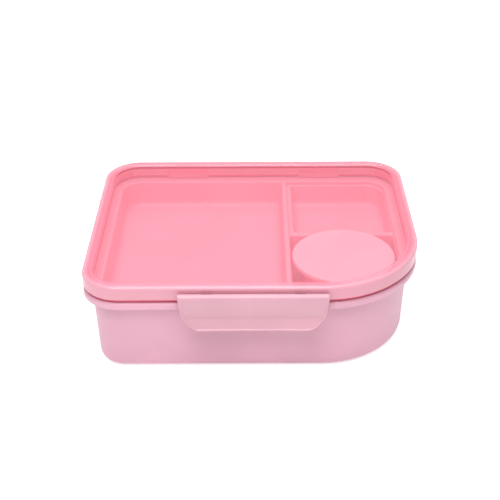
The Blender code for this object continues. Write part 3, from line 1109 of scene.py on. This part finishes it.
@dataclass
class ClearLid:
    """The see-through lid, with its seal."""

    foot: float = 55.3
    top: float = 64.2
    panel: float = 63.2
    under: float = 61.2
    wall: float = 1.8
    channel_in: float = 4.0
    rib_in: float = 5.5
    panel_inset: float = 7.0
    tongue_face: float = 78.9
    tongue_back: float = 80.25
    tongue_foot: float = 53.3
    ear_r: float = 1.5
    ear_width: float = 5.8
    ear_turn: tuple[float, float] = (250.0, -5.0)
    arm_turn: tuple[float, float] = (195.0, 450.0)
    root: float = 84.1
    seal_foot: float = 53.3
    seal_waist: float = 0.55
    skirt_fade: tuple[float, float] = (2.3, 0.7)
    ring_fade: tuple[float, float] = (7.4, 1.2)
    # Where the painted shade line along the raised ring's inner edge begins and ends.
    shade_line_outer: tuple[float, float] = (5.4, 0.7)
    shade_line_inner: tuple[float, float] = (7.5, 0.5)
    ring_haze: float = 0.5
    # Painted light on the tongues: nearly opaque and in the skirt's lighter colour, to lift them out of
    # their shade.
    tongue_painted_light_haze: float = 0.9
    tongue_painted_light_skirt: float = 1.0
    finish: TintedClear = field(
        default_factory=lambda: TintedClear(
            "tinted_lid_plastic", (255.0, 152.0, 172.0), (230.0, 164.0, 180.0)
        )
    )
    # A pink silicone seal, whose deep pink is the colour of the shaded gap under the skirt: partly painted
    # shade.
    seal_finish: Silicone = field(
        default_factory=lambda: Silicone("gap_shade_pink_silicone", (222.0, 96.0, 122.0))
    )

    def build(self) -> bpy.types.Object:
        """Carries the lid's profile round the plan, then adds what stands on it.

        Returns:
            The lid.
        """
        profile = rounded(
            (
                (self.panel_inset + 3, self.under, 0),
                (self.rib_in, self.under, 0.9),
                (self.rib_in, self.foot, 0.4),
                (self.channel_in, self.foot, 0.4),
                (self.channel_in, self.under + GAP, 0.5),
                (self.wall, self.under + GAP, 0.5),
                (self.wall, self.foot, 0.4),
                (0, self.foot, 0.6),
                (0, self.top, 1.9),
                (self.rib_in - 1.0, self.top, 0),
                (self.rib_in - 0.2, self.top, 0),
                (self.panel_inset - 1.2, self.top, 0.8),
                (self.panel_inset, self.panel, 0.8),
                (self.panel_inset + 0.7, self.panel, 0),
                (self.panel_inset + 1.4, self.panel, 0),
                (self.panel_inset + 3.5, self.panel, 0),
            ),
            steps=9,
        )
        lid = carried("lid_shell", RIM_PLAN, profile)
        added, bores = [], []
        half = HINGE_HALF - EAR_WIDTH - GAP
        tongue = rounded(
            (
                (self.tongue_face, self.under + 1, 0.1),
                (self.tongue_face, self.tongue_foot, 0.5),
                (self.tongue_back, self.tongue_foot, 0.3),
                (self.tongue_back, self.under + 1, 0.1),
            ),
            looped=True,
        )
        for centre in HINGE_CENTRES:
            ends = (centre - half) * MM, (centre + half) * MM
            added.append(pushed(f"arm_{centre}", self.arm_outline(), *ends))
            ends = (centre - HINGE_HALF) * MM, (centre + HINGE_HALF) * MM
            added.append(pushed(f"tongue_{centre}", tongue, *ends))
            bore = np.array(((HINGE_BORE_R, -HINGE_HALF), (HINGE_BORE_R, HINGE_HALF))) * MM
            place = (centre * MM, HINGE_Y * MM, HINGE_Z * MM)
            bores.append(turned(f"knuckle_bore_{centre}", bore, place, Axis.ALONG, 48))
        for centre in Latch.ear_centres:
            ends = (centre - self.ear_width / 2) * MM, (centre + self.ear_width / 2) * MM
            added.append(pushed(f"latch_ear_{centre}", self.latch_ear_outline(), *ends))
            bore = np.array(((PIN_BORE_R, -self.ear_width), (PIN_BORE_R, self.ear_width))) * MM
            place = (centre * MM, Latch.pin_y * MM, Latch.pin_z * MM)
            bores.append(turned(f"latch_ear_bore_{centre}", bore, place, Axis.ALONG, 32))
        combine(lid, Join.ADD, added)
        combine(lid, Join.CUT, bores)
        return lid

    def arm_outline(self) -> np.ndarray:
        """The hinge arm's outline of (y, z): a knuckle, with a web that runs to the skirt.

        Returns:
            The outline in metres, shape (K, 2).
        """
        end = arc(HINGE_Y, HINGE_Z, KNUCKLE_R, self.arm_turn, 44)
        upper = ((HINGE_Y, 59.6, 0), (86.6, 59.85, 1.0), (self.root, 60.6, 0))
        lower = ((self.root, 56.55, 0), (85.6, 56.5, 0))
        web = rounded((*upper, *lower))
        return np.concatenate((end[:-1] * MM, web))

    def latch_ear_outline(self) -> np.ndarray:
        """The latch ear's outline of (y, z): a round end about the latch pin, with a root in the skirt.

        Returns:
            The outline in metres, shape (K, 2).
        """
        end = arc(Latch.pin_y, Latch.pin_z, self.ear_r, self.ear_turn, 36)
        root = np.array(((-self.root, self.foot + 0.8), (-self.root, self.foot + 0.3)))
        return np.concatenate((end, root)) * MM

    def mark_plastic(self, lid: bpy.types.Object) -> None:
        """Stores how milky the plastic is at each point and where painted shade goes, from its inset and
        height.

        Each share is a smooth step 3t^2 - 2t^3 of the inset. The skirt ends just past its wall, the
        haze halves there and ends with the raised ring, and a line of painted shade runs along the ring's
        inner edge. The two tongues at the back take the skirt's lighter colour and nearly its milkiness,
        which paints light on them where they sit in shade.

        Args:
            lid: The lid, after its shape is final.
        """
        mesh = lid.data
        flat = np.empty(len(mesh.vertices) * 3)
        mesh.vertices.foreach_get("co", flat)
        points = flat.reshape(-1, 3) / MM
        inset = RIM_PLAN.inset(points * MM) / MM
        wall = self.step_down(inset, *self.skirt_fade)
        ring = self.step_down(inset, *self.ring_fade)
        # Painted shade line: 1 along the raised ring's inner edge, where deep pink stands in for the
        # shaded channel below.
        line = self.step_down(inset, *self.shade_line_inner) * (1 - self.step_down(inset, *self.shade_line_outer))
        # Painted light: the tongues get the skirt's lighter colour and near-skirt milkiness, to offset the
        # shade they sit in.
        at_back = points[:, 1] > self.tongue_face - 0.9
        tongue = at_back & (inset > self.rib_in - 0.05) & (points[:, 2] < self.under - 0.3)
        wall = np.where(tongue, self.tongue_painted_light_skirt, wall)
        plain = self.ring_haze * ring + (1 - self.ring_haze) * wall
        haze = np.where(tongue, self.tongue_painted_light_haze, plain)
        # The painted shade goes on the upper faces only.
        painted_shade_line = np.where(points[:, 2] > self.under + 0.5, line, 0.0)
        for word, values in (("skirt", wall), ("haze", haze), ("painted_shade_line", painted_shade_line)):
            store = mesh.attributes.new(word, "FLOAT", "POINT")
            store.data.foreach_set("value", values.astype(np.float32))

    def step_down(self, inset: np.ndarray, end: float, width: float) -> np.ndarray:
        """A smooth step of the inset that is 1 until end less width, and 0 from end on."""
        share = np.clip((end - inset) / width, 0, 1)
        return share * share * (3 - 2 * share)

    def build_seal(self) -> bpy.types.Object:
        """Carries the seal's looped profile round the plan.

        Returns:
            The seal.
        """
        outer, inner = self.wall + GAP, self.channel_in - GAP
        top, foot, waist = self.under, self.seal_foot, self.seal_waist
        profile = rounded(
            (
                (outer, top, 0.4),
                (outer, self.foot, 0.3),
                (outer - waist, self.foot - 0.5, 0.4),
                (outer - waist, foot + 0.5, 0.4),
                (outer, foot, 0.4),
                (inner, foot, 0.4),
                (inner + waist, foot + 0.5, 0.4),
                (inner + waist, self.foot - 0.5, 0.4),
                (inner, self.foot, 0.3),
                (inner, top, 0.4),
            ),
            looped=True,
            steps=4,
        )
        return carried("seal_ring", RIM_PLAN, profile, looped=True)

    def assemble(self) -> None:
        """Builds, dresses and ties the lid and its seal."""
        lid = self.build()
        dress(lid, self.finish.build(), Body.LID, ["lid"])
        self.mark_plastic(lid)
        dress(self.build_seal(), self.seal_finish.build(), Body.LID, ["lid_seal"])


@dataclass
class Latch:
    """The front clip: a round head on its pin, a flat face, a crease and a flared lip."""

    ear_centres: ClassVar[tuple[float, float]] = (-28.0, 28.0)
    pin_y: ClassVar[float] = -87.9
    pin_z: ClassVar[float] = 58.6
    head_r: float = 2.6
    top_half: float = 45.5
    knee_half: float = 43.4
    foot_half: float = 35.5
    foot: float = 37.0
    crease: float = 45.2
    plate: float = 1.9
    lip_out: float = 6.6
    dish: float = 1.3
    dish_power: int = 4
    bend_softness: float = 0.35
    back_fillet: float = 1.2
    bead: float = 0.45
    bead_width: float = 1.9
    face_edge_r: float = 1.25
    back_edge_r: float = 0.35
    arch: float = 0.45
    catch_root: float = -89.5
    catch_tip: float = -85.3
    catch_foot: float = 46.2
    catch_half: float = 40.0
    gap_depth: float = -80.0
    gap_rise: float = 5.2
    gap_turn: tuple[float, float] = (-80.0, 87.0)
    finish: MouldedPlastic = field(
        default_factory=lambda: MouldedPlastic("pastel_latch_plastic", (208.0, 158.0, 172.0), 0.36)
    )

    def heights(self) -> np.ndarray:
        """Heights of the cross-sections, closer together where the shape turns.

        Returns:
            The heights, top first, shape (M,).
        """
        top = self.pin_z + self.head_r
        head = top - self.head_r * (1 - np.cos(np.linspace(0.12, np.pi / 2, 16)))
        body = np.linspace(self.pin_z - 0.3, self.crease + 1.6, 18)
        bend = np.linspace(self.crease + 1.4, self.crease - 1.6, 12)
        lip = np.linspace(self.crease - 2.0, self.foot + 1.6, 16)
        end = self.foot + 0.95 * (1 - np.cos(np.linspace(np.pi / 1.6, 0.2, 14)))
        return np.concatenate((head, body, bend, lip, end[end < self.foot + 1.4]))

    def build(self) -> bpy.types.Object:
        """Stacks rounded cross-sections down the latch, then adds the catch and cuts the ear gaps.

        Each section is a rounded rectangle in X and Y. Its front and back follow the side profile,
        and its half-width follows the front outline, both read at the section's height.

        Returns:
            The latch.
        """
        z = self.heights()
        pin_out = -HALF_DEPTH - self.pin_y
        face = pin_out + self.head_r
        swell = np.sqrt(np.maximum(self.head_r**2 - (z - self.pin_z) ** 2, 0))
        soft = self.bend_softness
        bend = np.log1p(np.exp((self.crease - z) / soft)) * soft / (self.crease - self.foot)
        fall = np.clip((self.pin_z - z) / (self.pin_z - self.crease), 0, 1)
        hollow = self.dish * fall**self.dish_power * np.clip(1 - bend * 1.2, 0, 1)
        front = np.where(z > self.pin_z, pin_out + swell, face - hollow + bend * (self.lip_out - face))
        plain_back = face - self.plate - hollow * 0.6 + bend * (self.lip_out - face)
        head_back = pin_out - swell
        head_foot = self.pin_z - self.head_r
        fillet = np.clip((z - head_foot) / self.back_fillet, 0, 1)
        back = np.where(z > head_foot, plain_back + (head_back - plain_back) * fillet, plain_back)
        end_r = self.plate / 2
        near_end = np.clip((self.foot + end_r - z) / end_r, 0, 0.995)
        pull = end_r * (1 - np.sqrt(1 - near_end**2))
        front, back = front - pull, back + pull
        outline = rounded(
            (
                (0.0, self.pin_z + self.head_r + 0.02, 0),
                (self.top_half, self.pin_z + self.head_r + 0.02, 1.0),
                (self.knee_half, self.crease + 0.4, 6.0),
                (self.foot_half + 3.4, self.foot + 3.1, 6.0),
                (self.foot_half - 2.5, self.foot - 0.02, 3.0),
                (0.0, self.foot - 0.02, 0),
            ),
            steps=12,
        )
        rising = outline[::-1]
        half = np.interp(z, rising[:, 1] / MM, rising[:, 0] / MM)
        points = self.sections(z, front, back, half)
        drop = np.clip((self.crease - points[..., 2]) / (self.crease - self.foot), 0, 1)
        points[..., 2] += self.arch * (1 - (points[..., 0] / self.top_half) ** 2) * drop**2
        points[..., 1] = -HALF_DEPTH - points[..., 1]
        latch = solid("latch_clip", points * MM)
        combine(latch, Join.ADD, [self.catch()])
        combine(latch, Join.CUT, [*self.ear_gaps(), self.bore()])
        return latch

    def sections(self, z: np.ndarray, front: np.ndarray, back: np.ndarray, half: np.ndarray) -> np.ndarray:
        """Rounded rectangles, one for each height, with a low bead along the face's edge.

        The bead's height is a smooth step of the distance from the outline's sides and foot.

        Args:
            z: Heights, shape (M,).
            front: How far out the front lies at each height.
            back: How far out the back lies.
            half: Half the width.

        Returns:
            Points (x, out, z) of shape (M, N, 3), in millimetres.
        """
        near_edge = 1 - np.array((0.004, 0.008, 0.012, 0.018, 0.026, 0.04))
        ease = np.concatenate((-near_edge, np.linspace(-0.9, 0.9, 19), near_edge[::-1]))
        front_turn = np.radians(np.linspace(0, 90, 9))
        back_turn = np.radians(np.linspace(90, 0, 5))
        share = np.concatenate((np.ones(9), -ease, -np.ones(9), -np.ones(5), ease, np.ones(5)))
        on_front = np.repeat((1.0, 0.0), (9 + len(ease) + 9, 5 + len(ease) + 5))
        flat = np.zeros_like(ease)
        front_cos, front_sin = np.cos(front_turn), np.sin(front_turn)
        back_cos, back_sin = np.cos(back_turn), np.sin(back_turn)
        cosine = np.concatenate((front_cos, flat, -front_cos[::-1], -back_cos[::-1], flat, back_cos))
        sine = np.concatenate((front_sin, flat + 1, front_sin[::-1], back_sin[::-1], flat + 1, back_sin))
        thick = (front - back)[:, None]
        front_r = np.minimum(self.face_edge_r, thick * 0.6)
        back_r = np.minimum(self.back_edge_r, thick * 0.3)
        radius = np.where(on_front[None, :] > 0, front_r, back_r)
        x = share[None, :] * (half[:, None] - radius) + radius * cosine[None, :]
        from_edge = np.minimum(half[:, None] - np.abs(x), (z - self.foot)[:, None])
        share_up = np.clip((self.bead_width - from_edge) / 0.6, 0, 1)
        rise = self.bead * share_up * share_up * (3 - 2 * share_up)
        rise = rise * np.clip((self.pin_z - z) / 2.0, 0, 1)[:, None]
        out_front = front[:, None] - radius + radius * sine[None, :] + rise
        out_back = back[:, None] + radius - radius * sine[None, :]
        out = np.where(on_front[None, :] > 0, out_front, out_back)
        return np.stack((x, out, np.broadcast_to(z[:, None], x.shape)), axis=-1)

    def catch(self) -> bpy.types.Object:
        """The bead behind the face that hooks under the rim.

        Returns:
            The bead.
        """
        lower = ((self.catch_root, self.catch_foot, 0.2), (self.catch_tip, self.catch_foot, 0.6))
        upper = ((self.catch_tip, 48.0, 0.6), (self.catch_root, 48.9, 0.2))
        outline = rounded((*lower, *upper), looped=True)
        return pushed("catch", outline, -self.catch_half * MM, self.catch_half * MM)

    def ear_gaps(self) -> list[bpy.types.Object]:
        """Cutters that let the lid's two ears reach the pin from behind.

        Returns:
            One cutter for each ear.
        """
        clear = ClearLid.ear_r + GAP
        turn = np.radians(np.linspace(*self.gap_turn, 26))
        y, z = self.pin_y - clear * np.cos(turn), self.pin_z + clear * np.sin(turn)
        low, high = self.pin_z - self.gap_rise, self.pin_z + self.gap_rise
        below = ((self.gap_depth, low), (self.pin_y - GAP, low))
        above = ((self.pin_y + self.head_r, high), (self.gap_depth, high))
        outline = np.concatenate((below, np.stack((y, z), axis=-1), above))
        half = ClearLid.ear_width / 2 + GAP
        return [
            pushed(f"ear_gap_{centre}", outline * MM, (centre - half) * MM, (centre + half) * MM)
            for centre in self.ear_centres
        ]

    def bore(self) -> bpy.types.Object:
        """The cutter for the pin's hole."""
        profile = np.array(((PIN_BORE_R, -60.0), (PIN_BORE_R, 60.0))) * MM
        return turned("latch_bore", profile, (0, self.pin_y * MM, self.pin_z * MM), Axis.ALONG, 32)

    def assemble(self) -> None:
        """Builds, dresses and ties the latch."""
        dress(self.build(), self.finish.build(), Body.LATCH, ["latch"])


@dataclass
class Pins:
    """The steel pins of the latch and of the two hinges."""

    latch_r: float = 0.6
    latch_half: float = 44.9
    hinge_r: float = 1.5
    hinge_half: float = 14.2
    chamfer: float = 0.25
    finish: DrawnSteel = field(default_factory=lambda: DrawnSteel("drawn_pin_steel"))

    def rod(
        self, name: str, radius: float, half: float, centre: tuple[float, float, float]
    ) -> bpy.types.Object:
        """Turns a rod with chamfered ends about its own length.

        Args:
            name: The object's name.
            radius: Its radius in millimetres.
            half: Half its length.
            centre: Its middle.

        Returns:
            The rod.
        """
        start = ((0.1, -half, 0), (radius, -half, self.chamfer))
        end = ((radius, half, self.chamfer), (0.1, half, 0))
        profile = rounded((*start, *end), steps=3)
        return turned(name, profile, tuple(value * MM for value in centre), Axis.ALONG, 40)

    def assemble(self) -> None:
        """Builds, dresses and ties the three pins."""
        steel = self.finish.build()
        latch = self.rod("latch_rod", self.latch_r, self.latch_half, (0, Latch.pin_y, Latch.pin_z))
        dress(latch, steel, Body.LID, ["latch_pin"])
        for word, centre in zip(("left", "right"), HINGE_CENTRES):
            pin = self.rod(f"hinge_rod_{word}", self.hinge_r, self.hinge_half, (centre, HINGE_Y, HINGE_Z))
            dress(pin, steel, Body.BOX, [f"hinge_pin_{word}"])


# --------------------------------------------------------------------------- the studio


@dataclass
class Studio:
    """The floor, the lights and the camera, in metres, watts and radians, with the lens in millimetres."""

    floor_half: float = 4.0
    floor_drop: float = 0.0002
    floor_cast: float = 0.18
    floor_seen: float = 0.5
    room_cast: float = 0.44
    room_seen: float = 1.0
    box_side: float = 0.8
    key_place: tuple[float, float, float] = (-0.12, -0.5, 1.15)
    key_power: float = 13.6
    back_place: tuple[float, float, float] = (0.1, 0.5, 1.1)
    back_power: float = 6.4
    aim: tuple[float, float, float] = (0.0, 0.0, 0.03)
    focal: float = 75.2668
    pitch: float = 0.54115
    distance: float = 0.703569
    slide: float = -0.0024376
    look_height: float = 0.0392334
    yaw: float = -0.0068028
    roll: float = -0.0074531

    def floor(self) -> None:
        """Lays a wide white floor just under the box."""
        edge = np.array(((-1, -1), (1, -1), (1, 1), (-1, 1))) * self.floor_half
        mesh = bpy.data.meshes.new("studio_floor")
        mesh.from_pydata([(x, y, -self.floor_drop) for x, y in edge.tolist()], [], [(0, 1, 2, 3)])
        floor = bpy.data.objects.new("studio_floor", mesh)
        bpy.context.scene.collection.objects.link(floor)
        nodes = Nodes("white_floor")
        nodes.shader.inputs["Base Color"].default_value = (0.93, 0.93, 0.93, 1)
        nodes.shader.inputs["Roughness"].default_value = 0.9
        nodes.shader.inputs["Specular IOR Level"].default_value = 0.1
        nodes.shader.inputs["Emission Color"].default_value = (1, 1, 1, 1)
        glow = nodes.shader.inputs["Emission Strength"]
        self.brighter_to_the_eye(nodes.tree, glow, self.floor_cast, self.floor_seen)
        mesh.materials.append(nodes.material)

    def brighter_to_the_eye(
        self, tree: bpy.types.NodeTree, strength: bpy.types.NodeSocket, cast: float, seen: float
    ) -> None:
        """Makes a surround look whiter than the light it casts, as an overexposed backdrop does.

        Args:
            tree: The node tree that the socket is in.
            strength: The socket to drive.
            cast: Its value for light that falls on the box.
            seen: Its value where it is looked at.
        """
        ray = tree.nodes.new("ShaderNodeLightPath")
        level = tree.nodes.new("ShaderNodeMapRange")
        level.inputs["To Min"].default_value = cast
        level.inputs["To Max"].default_value = seen
        tree.links.new(ray.outputs["Is Camera Ray"], level.inputs["Value"])
        tree.links.new(level.outputs["Result"], strength)

    def light(self, name: str, place: tuple[float, float, float], power: float) -> None:
        """Hangs a square soft box that faces the box.

        Args:
            name: The light's name.
            place: Where it hangs.
            power: Its power in watts.
        """
        lamp = bpy.data.lights.new(name, "AREA")
        lamp.size = self.box_side
        lamp.energy = power
        made = bpy.data.objects.new(name, lamp)
        made.location = place
        made.rotation_euler = (Vector(self.aim) - Vector(place)).to_track_quat("-Z", "Y").to_euler()
        bpy.context.scene.collection.objects.link(made)

    def lights(self) -> None:
        """Hangs the lights and sets the room's white."""
        world = bpy.data.worlds.new("white_room")
        world.use_nodes = True
        room = world.node_tree.nodes["Background"]
        room.inputs["Color"].default_value = (1.0, 1.0, 1.0, 1)
        strength = room.inputs["Strength"]
        self.brighter_to_the_eye(world.node_tree, strength, self.room_cast, self.room_seen)
        bpy.context.scene.world = world
        self.light("key_box", self.key_place, self.key_power)
        self.light("back_box", self.back_place, self.back_power)

    def camera(self) -> None:
        """Places the camera: yaw about the box, then pitch down, then a slight roll."""
        lens = bpy.data.cameras.new("camera")
        lens.sensor_width = 36.0
        lens.lens = self.focal
        made = bpy.data.objects.new("camera", lens)
        right = Vector((1, 0, 0))
        up = Vector((0, math.sin(self.pitch), math.cos(self.pitch)))
        back = right.cross(up)
        eye = Vector((self.slide, 0, self.look_height)) + back * self.distance
        tilted_right = right * math.cos(self.roll) + up * math.sin(self.roll)
        tilted_up = up * math.cos(self.roll) - right * math.sin(self.roll)
        frame = Matrix((tilted_right, tilted_up, back)).transposed().to_4x4()
        turn = Matrix.Rotation(-self.yaw, 4, "Z")
        made.matrix_world = turn @ Matrix.Translation(eye) @ frame
        bpy.context.scene.collection.objects.link(made)
        bpy.context.scene.camera = made

    def assemble(self) -> None:
        """Sets up the whole studio."""
        self.floor()
        self.lights()
        self.camera()
        bpy.context.scene.view_settings.view_transform = "Standard"


def main() -> None:
    """Builds every piece in order."""
    logging.basicConfig(level=logging.INFO, format="%(name)s %(message)s")
    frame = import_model()
    for part in (BaseBox(), InnerTray(), SauceCup(), ClearLid(), Latch(), Pins(), Studio()):
        part.assemble()
        LOG.info("%s is in place", type(part).__name__)


if __name__ == "__main__":
    main()
